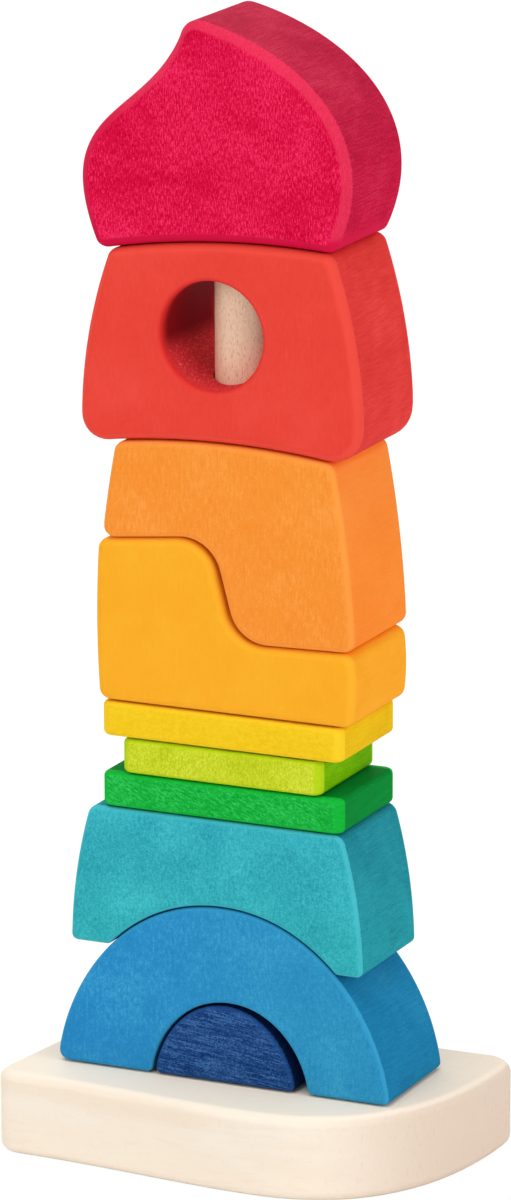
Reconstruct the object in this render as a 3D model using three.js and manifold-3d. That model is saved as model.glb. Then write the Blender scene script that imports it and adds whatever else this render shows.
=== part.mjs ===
// Rainbow stacking castle: stained wooden blocks, bored and dropped over a dowel that stands in a base.
// Millimetres, +Z up, the blocks' fronts towards -Y.
// The origin is on the base's underside, on the dowel's axis.
import * as THREE from 'three';
import { mergeVertices } from 'three/addons/utils/BufferGeometryUtils.js';
import Module from 'manifold-3d';

const wasm = await Module();
wasm.setup();

// What all blocks share
const BLOCK_DEPTH = 32;
const STACK_GAP = 0.3; // air between a block and what it rests on
const EDGE_ROUND = 2.4; // sanded rounding of the thick blocks' front and back edges
const PLANK_ROUND = 1.4; // the same on the thin planks
const CORNER_SPARE = 0.4; // an outline's corners are this much rounder than the edges along them

// Base board, seen from above
const BASE_LEFT = 54.8; // from the dowel's axis to the board's left end
const BASE_RIGHT = 56.6;
const BASE_DEPTH = 65.4;
const BASE_THICKNESS = 20.5;
const BASE_ROUND = 4;
const FRONT_WAVE = 3.8; // how far the left of the front edge lies behind its right
const FRONT_SWELL_X = 14; // where the front edge comes furthest forward
const WAVE_HANDLE = 26; // how long the front edge runs level at each end of its wave
const SWEEP_HANDLE_FRONT = 28; // handles of the large front right corner
const SWEEP_HANDLE_RIGHT = 37;
const SWEEP_END_Y = 21; // where that corner has become the right end
const LEFT_SLANT = 8; // the left end leans this much to the right at the back
const BACK_WAVE = 2.5;
const BACK_HANDLE = 36;
const FRONT_LEFT_CORNER = 5.2;
const BACK_RIGHT_CORNER = 8.5;
const BACK_LEFT_CORNER = 12;
const SOCKET_DEPTH = 15;
const GLUE_GAP = 0.2;

// Dowel
const DOWEL_DIAMETER = 15;
const DOWEL_END_ROUND = 2;
const DOWEL_IN_DOME = 22;
const BORE_PLAY = 1; // between the dowel and a block's bore, all round
const BORE_END_PLAY = 2; // between the dowel's top and the end of the dome's blind bore

// Arch, its doorway and the half disc in it: one shape of half round in three sizes
const ARCH_HALF_WIDTH = 42.7;
const ARCH_HEIGHT = 42.4;
const HALF_ROUND_LEAN = 0.95; // handle over the foot, as a share of the half width
const HALF_ROUND_RISE = 0.47; // the same handle's height, as a share of the whole height
const HALF_ROUND_FLAT = 0.585; // handle beside the top, as a share of the half width
const DOORWAY_X = 1.95; // its middle lies this far right of the dowel
const DOORWAY_HALF_WIDTH = 20.1;
const DOORWAY_HEIGHT = 19.5;
const DISC_TOP_PLAY = 0.9;
const DISC_SIDE_PLAY = 2.1;
const DISC_X = 0.7; // its middle, right of the dowel

// Bridge over the arch
const BRIDGE_CROWN = 20.9; // wood above the arch's top
const BRIDGE_HEIGHT = 33.6;
const BRIDGE_TOP_LEFT = 33.7; // from the dowel's axis to the ends of its top
const BRIDGE_TOP_RIGHT = 30.6;
const BRIDGE_LEFT_LAND = 9.8; // flat feet on both sides of its hollow
const BRIDGE_RIGHT_LAND = 6.7;
const BRIDGE_BULGE = 1.2;

// Planks
const PLANK_THICKNESS = 8.2;
const LONG_PLANK_WIDTH = 61.2;
const SHORT_PLANK_WIDTH = 50.8;

// The two blocks that share an S cut: heights are above the lower block's foot
const TOWER_HEIGHT = 63.6; // both blocks together, at the crown
const TOWER_X = 0.9; // their outsides lie this far right of the dowel
const LOWER_WIDTH = 64.2;
const LOWER_BULGE = 0.7;
const UPPER_TOP_WIDTH = 54.8;
const UPPER_FOOT_WIDTH = 65.4;
const UPPER_BULGE = 0.9;
const CUT_X = 0.5; // middle of the cut's steep flank
const CUT_Z = 28.8;
const CUT_DROP = 23.6; // from the cut's crest to its trough
const CUT_RADIUS = 9.5;
const CUT_FLANK_ANGLE = THREE.MathUtils.degToRad(75);
const CUT_LEFT_LEAN = THREE.MathUtils.degToRad(6); // slopes of the cut's two outer stretches
const CUT_RIGHT_LEAN = THREE.MathUtils.degToRad(1.5);
const CUT_PLAY = 1.1; // sideways air at the flank

// Shallow rocker seats, under the window block and under the dome
const SEAT_RADIUS = 205;
const DOME_SEAT_CREST = 11; // the dome's seat is highest this far right of the dowel

// Window block
const WINDOW_BLOCK_HEIGHT = 46.7;
const WINDOW_BLOCK_FOOT_WIDTH = 70.8;
const WINDOW_BLOCK_TOP_WIDTH = 55.8;
const WINDOW_BLOCK_BULGE = 2.4;
const WINDOW_BLOCK_LEFT_CORNER = 6.2;
const WINDOW_BLOCK_RIGHT_CORNER = 8.4;
const WINDOW_RADIUS = 12.8;
const WINDOW_RIM_ROUND = 0.8;
const WINDOW_X = -1.85; // its centre, left of the dowel
const WINDOW_HEIGHT = 24.9; // its centre above the block's seat

// Onion dome: heights are above the middle of its seat
const DOME_TIP = new THREE.Vector2(-8.5, 51); // before its rounding
const DOME_TIP_CORNER = 4.5;
const DOME_LEFT_FOOT = -30.7;
const DOME_RIGHT_FOOT = 28.2;
const DOME_NECK = new THREE.Vector2(-15.9, 25.2); // handles of the hollow left flank
const DOME_LEFT_BELLY = new THREE.Vector2(-45.9, 30.5);
const DOME_SHOULDER = new THREE.Vector2(16.9, 46.6); // handles of the round right flank
const DOME_RIGHT_BELLY = new THREE.Vector2(42.9, 28);

// Fineness of the facets
const FACET_ANGLE = THREE.MathUtils.degToRad(7);
const TURN_STEPS = 32; // a curve's turn is measured in this many steps
const CORNER_STEPS = 4;
const SHORTEST_FACET = 0.4; // a corner leaves no shorter one beside it
const ROUND_STEPS = 3;
const BORE_SIDES = 32;
const WINDOW_SIDES = 48;
const CUT_PAST = 2; // how far a cutter runs past the faces that it opens

// Heights of the stack, from the ground up
const archFoot = BASE_THICKNESS + STACK_GAP;
const bridgeTop = archFoot + ARCH_HEIGHT + STACK_GAP + BRIDGE_CROWN;
const greenFoot = bridgeTop + STACK_GAP;
const limeFoot = greenFoot + PLANK_THICKNESS + STACK_GAP;
const yellowFoot = limeFoot + PLANK_THICKNESS + STACK_GAP;
const towerFoot = yellowFoot + PLANK_THICKNESS + STACK_GAP;
const windowBlockFoot = towerFoot + TOWER_HEIGHT + STACK_GAP;
const domeFoot = windowBlockFoot + WINDOW_BLOCK_HEIGHT + STACK_GAP;
const dowelFoot = BASE_THICKNESS - SOCKET_DEPTH + STACK_GAP;
const dowelTop = domeFoot + DOWEL_IN_DOME;

const point = (x, z) => new THREE.Vector2(x, z);
const line = (from, to) => [from, to];

// Points along a curve, one for each turn of the facet angle.
function sample(curve) {
  let turn = 0;
  for (let i = 0; i < TURN_STEPS; i++) {
    const tangent = curve.getTangent(i / TURN_STEPS);
    turn += tangent.angleTo(curve.getTangent((i + 1) / TURN_STEPS));
  }
  return curve.getPoints(Math.max(1, Math.ceil(turn / FACET_ANGLE)));
}

// A side that swells by bulge between its ends, outwards on a counter-clockwise outline.
function bulging(from, to, bulge) {
  const along = to.clone().sub(from).normalize();
  const outward = point(along.y, -along.x);
  const middle = from.clone().add(to).multiplyScalar(0.5);
  return sample(new THREE.QuadraticBezierCurve(from, middle.addScaledVector(outward, 2 * bulge), to));
}

function arcCurve(centre, radius, start, end) {
  return new THREE.EllipseCurve(centre.x, centre.y, radius, radius, start, end, end < start);
}

const arc = (...sizes) => sample(arcCurve(...sizes));
const smallRound = (...sizes) => arcCurve(...sizes).getPoints(ROUND_STEPS);

// A half round with slightly flattened shoulders, from its right foot over the top to its left one.
function halfRound(x, halfWidth, height) {
  const quarter = (side) => new THREE.CubicBezierCurve(
    point(x + side * halfWidth, 0),
    point(x + side * halfWidth * HALF_ROUND_LEAN, height * HALF_ROUND_RISE),
    point(x + side * halfWidth * HALF_ROUND_FLAT, height),
    point(x, height),
  );
  return [...sample(quarter(1)), ...sample(quarter(-1)).toReversed().slice(1)];
}

// The part of a polyline above a height, with its ends cut at that height.
function above(points, height) {
  return points.flatMap((here, i) => {
    const next = points[i + 1] ?? here;
    const kept = here.y > height ? [here] : [];
    if ((here.y > height) === (next.y > height)) {
      return kept;
    }
    return [...kept, here.clone().lerp(next, (height - here.y) / (next.y - here.y))];
  });
}

// The rest of a polyline after a length has been cut off its start.
function cutStart(points, length) {
  let left = length;
  for (let i = 1; i < points.length; i++) {
    const step = points[i].distanceTo(points[i - 1]);
    if (step > left + SHORTEST_FACET) {
      return [points[i - 1].clone().lerp(points[i], left / step), ...points.slice(i)];
    }
    left = Math.max(0, left - step);
  }
  return points.slice(-1);
}

// How much of each side the corner between two sides takes up, for its radius at the middle.
function cornerReach(side, next) {
  const back = side.points.at(-2).clone().sub(side.points.at(-1));
  const ahead = next.points[1].clone().sub(next.points[0]);
  const half = Math.acos(back.dot(ahead) / (back.length() * ahead.length())) / 2;
  return side.corner * Math.cos(half) / Math.sin(half) ** 2;
}

// A closed counter-clockwise outline. Each side is a polyline, with the corner radius at its end.
function outline(sides) {
  const reaches = sides.map((side, i) => cornerReach(side, sides[(i + 1) % sides.length]));
  const trimmed = sides.map(({ points }, i) => {
    const opened = cutStart(points, reaches.at(i - 1));
    return cutStart(opened.toReversed(), reaches[i]).toReversed();
  });
  const path = sides.flatMap(({ points }, i) => {
    const next = trimmed[(i + 1) % sides.length];
    const corner = new THREE.QuadraticBezierCurve(trimmed[i].at(-1), points.at(-1), next[0]);
    return [...trimmed[i], ...corner.getPoints(CORNER_STEPS).slice(1, -1)];
  });
  return new THREE.Shape(path);
}

// Boolean work: geometry to solid and back
function solid(geometry) {
  geometry.deleteAttribute('normal');
  geometry.deleteAttribute('uv');
  const merged = mergeVertices(geometry);
  const vertProperties = new Float32Array(merged.attributes.position.array);
  const triVerts = new Uint32Array(merged.index.array);
  return new wasm.Manifold(new wasm.Mesh({ numProp: 3, vertProperties, triVerts }));
}

function geometryOf(body) {
  const { vertProperties, triVerts } = body.getMesh();
  const geometry = new THREE.BufferGeometry();
  geometry.setAttribute('position', new THREE.BufferAttribute(vertProperties, 3));
  geometry.setIndex(new THREE.BufferAttribute(triVerts, 1));
  geometry.computeVertexNormals();
  return geometry;
}

// A sawn slab of a shape, with the edges of both faces sanded round, from z = 0 upwards.
function slab(shape, thickness, round) {
  const geometry = new THREE.ExtrudeGeometry(shape, {
    depth: thickness - 2 * round,
    bevelThickness: round,
    bevelSize: round,
    bevelOffset: -round,
    bevelSegments: ROUND_STEPS,
  });
  return geometry.translate(0, 0, round);
}

// A block: an outline in X and Z, carried through the depth.
function block(shape, round) {
  const geometry = slab(shape, BLOCK_DEPTH, round);
  geometry.translate(0, 0, -BLOCK_DEPTH / 2).rotateX(Math.PI / 2);
  return solid(geometry);
}

// Upright drill, from one height to another.
function drill(radius, from, to) {
  const geometry = new THREE.CylinderGeometry(radius, radius, to - from, BORE_SIDES);
  geometry.rotateX(Math.PI / 2).translate(0, 0, (from + to) / 2);
  return solid(geometry);
}

const boreRadius = DOWEL_DIAMETER / 2 + BORE_PLAY;
const bored = (body, from, to) => body.subtract(drill(boreRadius, from - CUT_PAST, to + CUT_PAST));
const blockCorner = EDGE_ROUND + CORNER_SPARE;
const plankCorner = PLANK_ROUND + CORNER_SPARE;

// The base board's front edge is a shallow wave that sweeps round into the right end.
function baseBoard() {
  const front = -BASE_DEPTH / 2;
  const back = BASE_DEPTH / 2;
  const frontLeft = point(-BASE_LEFT, front + FRONT_WAVE);
  const swell = point(FRONT_SWELL_X, front);
  const sweepEnd = point(BASE_RIGHT, SWEEP_END_Y);
  const backRight = point(BASE_RIGHT, back);
  const backLeft = point(LEFT_SLANT - BASE_LEFT, back);
  const wave = new THREE.CubicBezierCurve(
    frontLeft,
    point(frontLeft.x + WAVE_HANDLE, frontLeft.y),
    point(swell.x - WAVE_HANDLE, swell.y),
    swell,
  );
  const sweep = new THREE.CubicBezierCurve(
    swell,
    point(swell.x + SWEEP_HANDLE_FRONT, swell.y),
    point(sweepEnd.x, sweepEnd.y - SWEEP_HANDLE_RIGHT),
    sweepEnd,
  );
  const backEdge = new THREE.CubicBezierCurve(
    backRight,
    point(backRight.x - BACK_HANDLE, back - BACK_WAVE),
    point(backLeft.x + BACK_HANDLE, back + BACK_WAVE),
    backLeft,
  );
  const frontAndRight = [...sample(wave), ...sample(sweep).slice(1), backRight];
  const shape = outline([
    { points: frontAndRight, corner: BACK_RIGHT_CORNER },
    { points: sample(backEdge), corner: BACK_LEFT_CORNER },
    { points: line(backLeft, frontLeft), corner: FRONT_LEFT_CORNER },
  ]);
  const socketRadius = DOWEL_DIAMETER / 2 + GLUE_GAP;
  const socket = drill(socketRadius, BASE_THICKNESS - SOCKET_DEPTH, BASE_THICKNESS + CUT_PAST);
  return solid(slab(shape, BASE_THICKNESS, BASE_ROUND)).subtract(socket);
}

// The dowel is a turned rod with both ends rounded.
function centreDowel() {
  const radius = DOWEL_DIAMETER / 2;
  const inner = radius - DOWEL_END_ROUND;
  const foot = smallRound(point(inner, dowelFoot + DOWEL_END_ROUND), DOWEL_END_ROUND, -Math.PI / 2, 0);
  const top = smallRound(point(inner, dowelTop - DOWEL_END_ROUND), DOWEL_END_ROUND, 0, Math.PI / 2);
  const profile = [point(0, dowelFoot), ...foot, ...top, point(0, dowelTop)];
  return solid(new THREE.LatheGeometry(profile, BORE_SIDES).rotateX(Math.PI / 2));
}

// The disc stands in the middle over the dowel, so the air beside it is wider on the doorway's right.
function halfDisc() {
  const height = DOORWAY_HEIGHT - DISC_TOP_PLAY;
  const round = halfRound(DISC_X, DOORWAY_HALF_WIDTH - DISC_SIDE_PLAY, height);
  const shape = outline([
    { points: round, corner: blockCorner },
    { points: line(round.at(-1), round[0]), corner: blockCorner },
  ]);
  return bored(block(shape, EDGE_ROUND), 0, height);
}

function rainbowArch() {
  const outer = halfRound(0, ARCH_HALF_WIDTH, ARCH_HEIGHT);
  const doorway = halfRound(DOORWAY_X, DOORWAY_HALF_WIDTH, DOORWAY_HEIGHT).toReversed();
  const shape = outline([
    { points: outer, corner: blockCorner },
    { points: line(outer.at(-1), doorway[0]), corner: blockCorner },
    { points: doorway, corner: blockCorner },
    { points: line(doorway.at(-1), outer[0]), corner: blockCorner },
  ]);
  return bored(block(shape, EDGE_ROUND), 0, ARCH_HEIGHT);
}

// The bridge is drawn from the arch's foot, because its hollow follows the arch.
function bridgeBlock() {
  const top = bridgeTop - archFoot;
  const foot = top - BRIDGE_HEIGHT;
  const overArch = halfRound(0, ARCH_HALF_WIDTH + STACK_GAP, ARCH_HEIGHT + STACK_GAP);
  const hollow = above(overArch, foot).toReversed();
  const topRight = point(BRIDGE_TOP_RIGHT, top);
  const topLeft = point(-BRIDGE_TOP_LEFT, top);
  const footRight = point(hollow.at(-1).x + BRIDGE_RIGHT_LAND, foot);
  const footLeft = point(hollow[0].x - BRIDGE_LEFT_LAND, foot);
  const shape = outline([
    { points: bulging(footRight, topRight, BRIDGE_BULGE), corner: blockCorner },
    { points: line(topRight, topLeft), corner: blockCorner },
    { points: bulging(topLeft, footLeft, BRIDGE_BULGE), corner: blockCorner },
    { points: line(footLeft, hollow[0]), corner: blockCorner },
    { points: hollow, corner: blockCorner },
    { points: line(hollow.at(-1), footRight), corner: blockCorner },
  ]);
  return bored(block(shape, EDGE_ROUND), foot, top);
}

function plank(width) {
  const right = width / 2;
  const corners = [
    point(-right, 0),
    point(right, 0),
    point(right, PLANK_THICKNESS),
    point(-right, PLANK_THICKNESS),
  ];
  const sides = corners.map((from, i) => {
    const to = corners[(i + 1) % corners.length];
    return { points: line(from, to), corner: plankCorner };
  });
  return bored(block(outline(sides), PLANK_ROUND), 0, PLANK_THICKNESS);
}

// The S cut from left to right: a rising stretch, a shoulder, a steep flank, a trough and a rising stretch.
function sCut(fromX, toX, middle) {
  const steep = point(Math.cos(CUT_FLANK_ANGLE), -Math.sin(CUT_FLANK_ANGLE));
  const aside = point(-steep.y, steep.x);
  const rise = CUT_DROP / 2 - CUT_RADIUS * (1 - Math.cos(CUT_FLANK_ANGLE));
  const halfFlank = rise / Math.sin(CUT_FLANK_ANGLE);
  const flankTurn = Math.PI / 2 - CUT_FLANK_ANGLE;
  const centreAt = (down, across) => {
    return middle.clone().addScaledVector(steep, down).addScaledVector(aside, across);
  };
  const shoulderCentre = centreAt(-halfFlank, -CUT_RADIUS);
  const troughCentre = centreAt(halfFlank, CUT_RADIUS);
  const shoulder = arc(shoulderCentre, CUT_RADIUS, Math.PI / 2 + CUT_LEFT_LEAN, flankTurn);
  const trough = arc(troughCentre, CUT_RADIUS, Math.PI + flankTurn, Math.PI * 1.5 + CUT_RIGHT_LEAN);
  const leaning = (from, x, lean) => point(x, from.y + (x - from.x) * Math.tan(lean));
  const first = leaning(shoulder[0], fromX, CUT_LEFT_LEAN);
  const last = leaning(trough.at(-1), toX, CUT_RIGHT_LEAN);
  return [first, ...shoulder, ...trough, last];
}

function lowerSBlock() {
  const footLeft = point(TOWER_X - LOWER_WIDTH / 2, 0);
  const footRight = point(TOWER_X + LOWER_WIDTH / 2, 0);
  const cut = sCut(footLeft.x, footRight.x, point(CUT_X - CUT_PLAY / 2, CUT_Z)).toReversed();
  const shape = outline([
    { points: line(footLeft, footRight), corner: blockCorner },
    { points: bulging(footRight, cut[0], LOWER_BULGE), corner: blockCorner },
    { points: cut, corner: blockCorner },
    { points: bulging(cut.at(-1), footLeft, LOWER_BULGE), corner: blockCorner },
  ]);
  return bored(block(shape, EDGE_ROUND), 0, TOWER_HEIGHT);
}

// A rocker seat: a shallow arc whose highest point is over crest.
function seat(crest, top) {
  const centre = point(crest, top - SEAT_RADIUS);
  const angle = (x) => Math.acos((x - crest) / SEAT_RADIUS);
  return (fromX, toX) => arc(centre, SEAT_RADIUS, angle(fromX), angle(toX));
}

// The upper block is drawn from the lower one's foot, because both follow the same cut.
function upperSBlock() {
  const cutMiddle = point(CUT_X + CUT_PLAY / 2, CUT_Z + STACK_GAP);
  const topHalf = UPPER_TOP_WIDTH / 2;
  const footHalf = UPPER_FOOT_WIDTH / 2;
  const crown = seat(0, TOWER_HEIGHT)(TOWER_X + topHalf, TOWER_X - topHalf);
  const wholeCut = sCut(TOWER_X - footHalf, TOWER_X + footHalf, cutMiddle);
  const footRight = wholeCut.at(-1);
  const sideAt = (z) => {
    const share = (z - footRight.y) / (crown[0].y - footRight.y);
    const swell = 4 * UPPER_BULGE * share * (1 - share);
    return THREE.MathUtils.lerp(footRight.x, crown[0].x, share) + swell;
  };
  const armLeft = 2 * TOWER_X - sideAt(wholeCut[0].y);
  const cut = sCut(armLeft, footRight.x, cutMiddle);
  const armShare = (crown[0].y - cut[0].y) / (crown[0].y - footRight.y);
  const shape = outline([
    { points: cut, corner: blockCorner },
    { points: bulging(footRight, crown[0], UPPER_BULGE), corner: blockCorner },
    { points: crown, corner: blockCorner },
    { points: bulging(crown.at(-1), cut[0], UPPER_BULGE * armShare ** 2), corner: blockCorner },
  ]);
  return bored(block(shape, EDGE_ROUND), 0, TOWER_HEIGHT);
}

// A spool-shaped cutter along Y that leaves a window with a softened rim on both faces.
function windowCutter() {
  const face = BLOCK_DEPTH / 2;
  const wide = WINDOW_RADIUS + WINDOW_RIM_ROUND;
  const shoulder = face - WINDOW_RIM_ROUND;
  const rimBack = smallRound(point(wide, -shoulder), WINDOW_RIM_ROUND, -Math.PI / 2, -Math.PI);
  const rimFront = smallRound(point(wide, shoulder), WINDOW_RIM_ROUND, Math.PI, Math.PI / 2);
  const profile = [
    point(0, -face - CUT_PAST),
    point(wide, -face - CUT_PAST),
    ...rimBack,
    ...rimFront,
    point(wide, face + CUT_PAST),
    point(0, face + CUT_PAST),
  ];
  return solid(new THREE.LatheGeometry(profile, WINDOW_SIDES).translate(WINDOW_X, 0, WINDOW_HEIGHT));
}

function windowBlock() {
  const footRight = WINDOW_BLOCK_FOOT_WIDTH / 2;
  const topRight = WINDOW_BLOCK_TOP_WIDTH / 2;
  const hollow = seat(0, 0)(-footRight, footRight);
  const crown = seat(DOME_SEAT_CREST, WINDOW_BLOCK_HEIGHT)(topRight, -topRight);
  const shape = outline([
    { points: hollow, corner: WINDOW_BLOCK_RIGHT_CORNER },
    { points: bulging(hollow.at(-1), crown[0], WINDOW_BLOCK_BULGE), corner: blockCorner },
    { points: crown, corner: blockCorner },
    { points: bulging(crown.at(-1), hollow[0], WINDOW_BLOCK_BULGE), corner: WINDOW_BLOCK_LEFT_CORNER },
  ]);
  return bored(block(shape, EDGE_ROUND), 0, WINDOW_BLOCK_HEIGHT).subtract(windowCutter());
}

// The dome's left flank is hollow under its tip, and its right flank is round all the way up.
function onionDome() {
  const hollow = seat(DOME_SEAT_CREST, 0)(DOME_LEFT_FOOT, DOME_RIGHT_FOOT);
  const rightFlank = new THREE.CubicBezierCurve(hollow.at(-1), DOME_RIGHT_BELLY, DOME_SHOULDER, DOME_TIP);
  const leftFlank = new THREE.CubicBezierCurve(DOME_TIP, DOME_NECK, DOME_LEFT_BELLY, hollow[0]);
  const shape = outline([
    { points: hollow, corner: blockCorner },
    { points: sample(rightFlank), corner: DOME_TIP_CORNER },
    { points: sample(leftFlank), corner: blockCorner },
  ]);
  const bore = drill(boreRadius, -2 * EDGE_ROUND - CUT_PAST, DOWEL_IN_DOME + BORE_END_PLAY);
  return block(shape, EDGE_ROUND).subtract(bore);
}

const castle = new THREE.Group();

function place(name, body, height, color, roughness) {
  const material = new THREE.MeshStandardMaterial({ color, roughness, metalness: 0 });
  const mesh = new THREE.Mesh(geometryOf(body), material);
  mesh.name = name;
  mesh.position.z = height;
  castle.add(mesh);
}

place('base_board', baseBoard(), 0, 0xf3e6d3, 0.7);
place('centre_dowel', centreDowel(), 0, 0xe2b495, 0.7);
place('half_disc', halfDisc(), archFoot, 0x1c437b, 0.6);
place('rainbow_arch', rainbowArch(), archFoot, 0x2d91c2, 0.6);
place('bridge_block', bridgeBlock(), archFoot, 0x37aeb8, 0.6);
place('green_plank', plank(LONG_PLANK_WIDTH), greenFoot, 0x1fb443, 0.6);
place('lime_plank', plank(SHORT_PLANK_WIDTH), limeFoot, 0xcbda31, 0.6);
place('yellow_plank', plank(LONG_PLANK_WIDTH), yellowFoot, 0xf7cc24, 0.6);
place('lower_s_block', lowerSBlock(), towerFoot, 0xfcae27, 0.6);
place('upper_s_block', upperSBlock(), towerFoot, 0xfb9a3d, 0.6);
place('window_block', windowBlock(), windowBlockFoot, 0xea483c, 0.6);
place('onion_dome', onionDome(), domeFoot, 0xe41e52, 0.6);

export default castle;
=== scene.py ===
"""Rainbow stacking castle: stained wooden blocks on a dowel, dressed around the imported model."""
import math

import bmesh
import bpy
from mathutils import Euler, Matrix, Vector


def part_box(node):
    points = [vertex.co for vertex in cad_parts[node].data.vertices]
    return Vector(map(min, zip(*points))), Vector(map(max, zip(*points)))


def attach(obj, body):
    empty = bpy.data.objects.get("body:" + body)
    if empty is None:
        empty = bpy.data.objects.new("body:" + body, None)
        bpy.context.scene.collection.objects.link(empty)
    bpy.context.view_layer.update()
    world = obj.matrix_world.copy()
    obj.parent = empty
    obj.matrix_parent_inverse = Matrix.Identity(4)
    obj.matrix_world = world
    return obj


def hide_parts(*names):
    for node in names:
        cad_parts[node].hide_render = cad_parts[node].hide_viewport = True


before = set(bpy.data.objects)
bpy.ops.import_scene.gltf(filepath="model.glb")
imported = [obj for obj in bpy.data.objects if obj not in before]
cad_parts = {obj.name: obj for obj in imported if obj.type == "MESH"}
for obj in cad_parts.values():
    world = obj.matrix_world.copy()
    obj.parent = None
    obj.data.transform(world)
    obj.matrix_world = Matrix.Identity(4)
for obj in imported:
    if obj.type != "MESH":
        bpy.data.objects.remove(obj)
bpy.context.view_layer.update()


# Base board: one thick plank of pale bare maple, sawn to a wavy outline and sanded soft all round.
# A blind hole in its top takes the dowel, which is glued in.
MM = 0.001  # outlines are in plain millimetres, and what is set against the frame has * MM in it
BASE_LEFT, BASE_RIGHT = -53.9, 55.7
BASE_FRONT, BASE_BACK = -32.7, 32.7
BASE_CORNER, BACK_RIGHT_CORNER, BACK_LEFT_CORNER = 5.2, 7, 12
BASE_RIM = 2.5 * MM
DOWEL_RADIUS = 7.5 * MM
SOCKET_DEPTH = 15 * MM
GLUE_LINE = 0.2 * MM
SHARP_TURN, SHARP_EDGE = math.radians(25), math.radians(40)
ROUNDING_ROOM, ROUNDING_STEPS = 1.1, 8
SAME_PLACE, WELD = 0.05, 0.01
WOOD_GLOSS, GRAIN_ROUGHNESS, BUMP_STRENGTH = 0.03, 0.58, 0.4


def sweep(start, first, second, end, steps=30):
    """Points along a curve with two handles. Its end is left to the stretch that follows."""
    points = []
    for step in range(steps):
        share = step / steps
        left = 1 - share
        weights = (left**3, 3 * left**2 * share, 3 * left * share**2, share**3)
        handles = (start, first, second, end)
        points.append(sum((w * Vector(p) for w, p in zip(weights, handles)), Vector((0, 0))))
    return points


def trace(name, lay, outline, through, radius, wider=()):
    """A sawn piece: one point is extruded along the outline, filled, and pulled through the thickness.

    Each sharp turn of the outline is then rounded to the radius, or to its own one in wider. The points
    of the outline that such a rounding would run over are left out.
    """
    outline = [Vector(point) for point in outline]
    turns = []
    for before, corner, after in zip(outline[-1:] + outline, outline, outline[1:] + outline[:1]):
        turn = (corner - before).angle(after - corner)
        if turn > SHARP_TURN:
            own = [size for place, size in wider if (Vector(place) - corner).length < SAME_PLACE]
            turns.append((corner, (own or [radius])[0] * math.tan(turn / 2)))
    path = []
    for point in outline:
        rooms = [(point - corner).length / reach for corner, reach in turns if point is not corner]
        if all(room > ROUNDING_ROOM for room in rooms):
            path.append(lay(*point) * MM)
    bpy.ops.object.select_all(action="DESELECT")
    bpy.ops.mesh.primitive_plane_add(size=MM)
    piece = bpy.context.object
    piece.name = piece.data.name = name
    bpy.ops.object.mode_set(mode="EDIT")
    bpy.ops.mesh.select_mode(type="VERT")
    bpy.ops.mesh.merge(type="CENTER")
    bpy.ops.transform.translate(value=path[0])
    for here, there in zip(path, path[1:] + path[:1]):
        bpy.ops.mesh.extrude_region_move(TRANSFORM_OT_translate={"value": there - here})
    bpy.ops.mesh.select_all(action="SELECT")
    bpy.ops.mesh.remove_doubles(threshold=WELD * MM)
    bpy.ops.mesh.edge_face_add()
    bpy.ops.mesh.extrude_region_move(TRANSFORM_OT_translate={"value": through})
    bpy.ops.mesh.select_all(action="SELECT")
    bpy.ops.mesh.normals_make_consistent(inside=False)
    for corner, reach in turns:
        ends = (lay(*corner) * MM, lay(*corner) * MM + through)
        soften(
            reach * MM,
            lambda at: min((at - end).length for end in ends) < SAME_PLACE * MM,
            ROUNDING_STEPS,
        )
    return piece


def soften(size, where=None, segments=5, profile=0.5):
    """Rounds the edges whose two ends where picks, or every sharp edge, of the piece in edit mode."""
    bpy.ops.mesh.select_mode(type="EDGE")
    bpy.ops.mesh.select_all(action="DESELECT")
    if where is None:
        bpy.ops.mesh.edges_select_sharp(sharpness=SHARP_EDGE)
    else:
        mesh = bmesh.from_edit_mesh(bpy.context.object.data)
        for edge in mesh.edges:
            edge.select_set(all(where(end.co) for end in edge.verts))
        bmesh.update_edit_mesh(bpy.context.object.data)
    bpy.ops.mesh.bevel(offset=size, segments=segments, profile=profile, clamp_overlap=False)


def drill(piece, radius, low, high, sides=64):
    """Bores an upright hole on the dowel's axis, from one height to another."""
    bpy.ops.object.mode_set(mode="OBJECT")
    bpy.ops.object.select_all(action="DESELECT")
    bpy.ops.mesh.primitive_cylinder_add(
        vertices=sides, radius=radius, depth=high - low, location=(0, 0, (low + high) / 2)
    )
    cut_away(piece, bpy.context.object)


def cut_away(piece, cutter):
    """Takes the cutter's volume out of the piece, and the cutter out of the scene."""
    modifier = piece.modifiers.new("cut", "BOOLEAN")
    modifier.object = cutter
    modifier.solver = "EXACT"
    bpy.context.view_layer.objects.active = piece
    bpy.ops.object.modifier_apply(modifier=modifier.name)
    bpy.data.objects.remove(cutter)


def sand(piece):
    """Smooth shading over the roundings, with the flat faces kept flat."""
    if bpy.context.mode != "OBJECT":
        bpy.ops.object.mode_set(mode="OBJECT")
    bpy.ops.object.select_all(action="DESELECT")
    piece.select_set(True)
    bpy.context.view_layer.objects.active = piece
    bpy.ops.object.shade_smooth_by_angle(angle=SHARP_EDGE)
    modifier = piece.modifiers.new("flat faces", "WEIGHTED_NORMAL")
    modifier.keep_sharp = True
    bpy.ops.object.modifier_apply(modifier=modifier.name)


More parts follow.
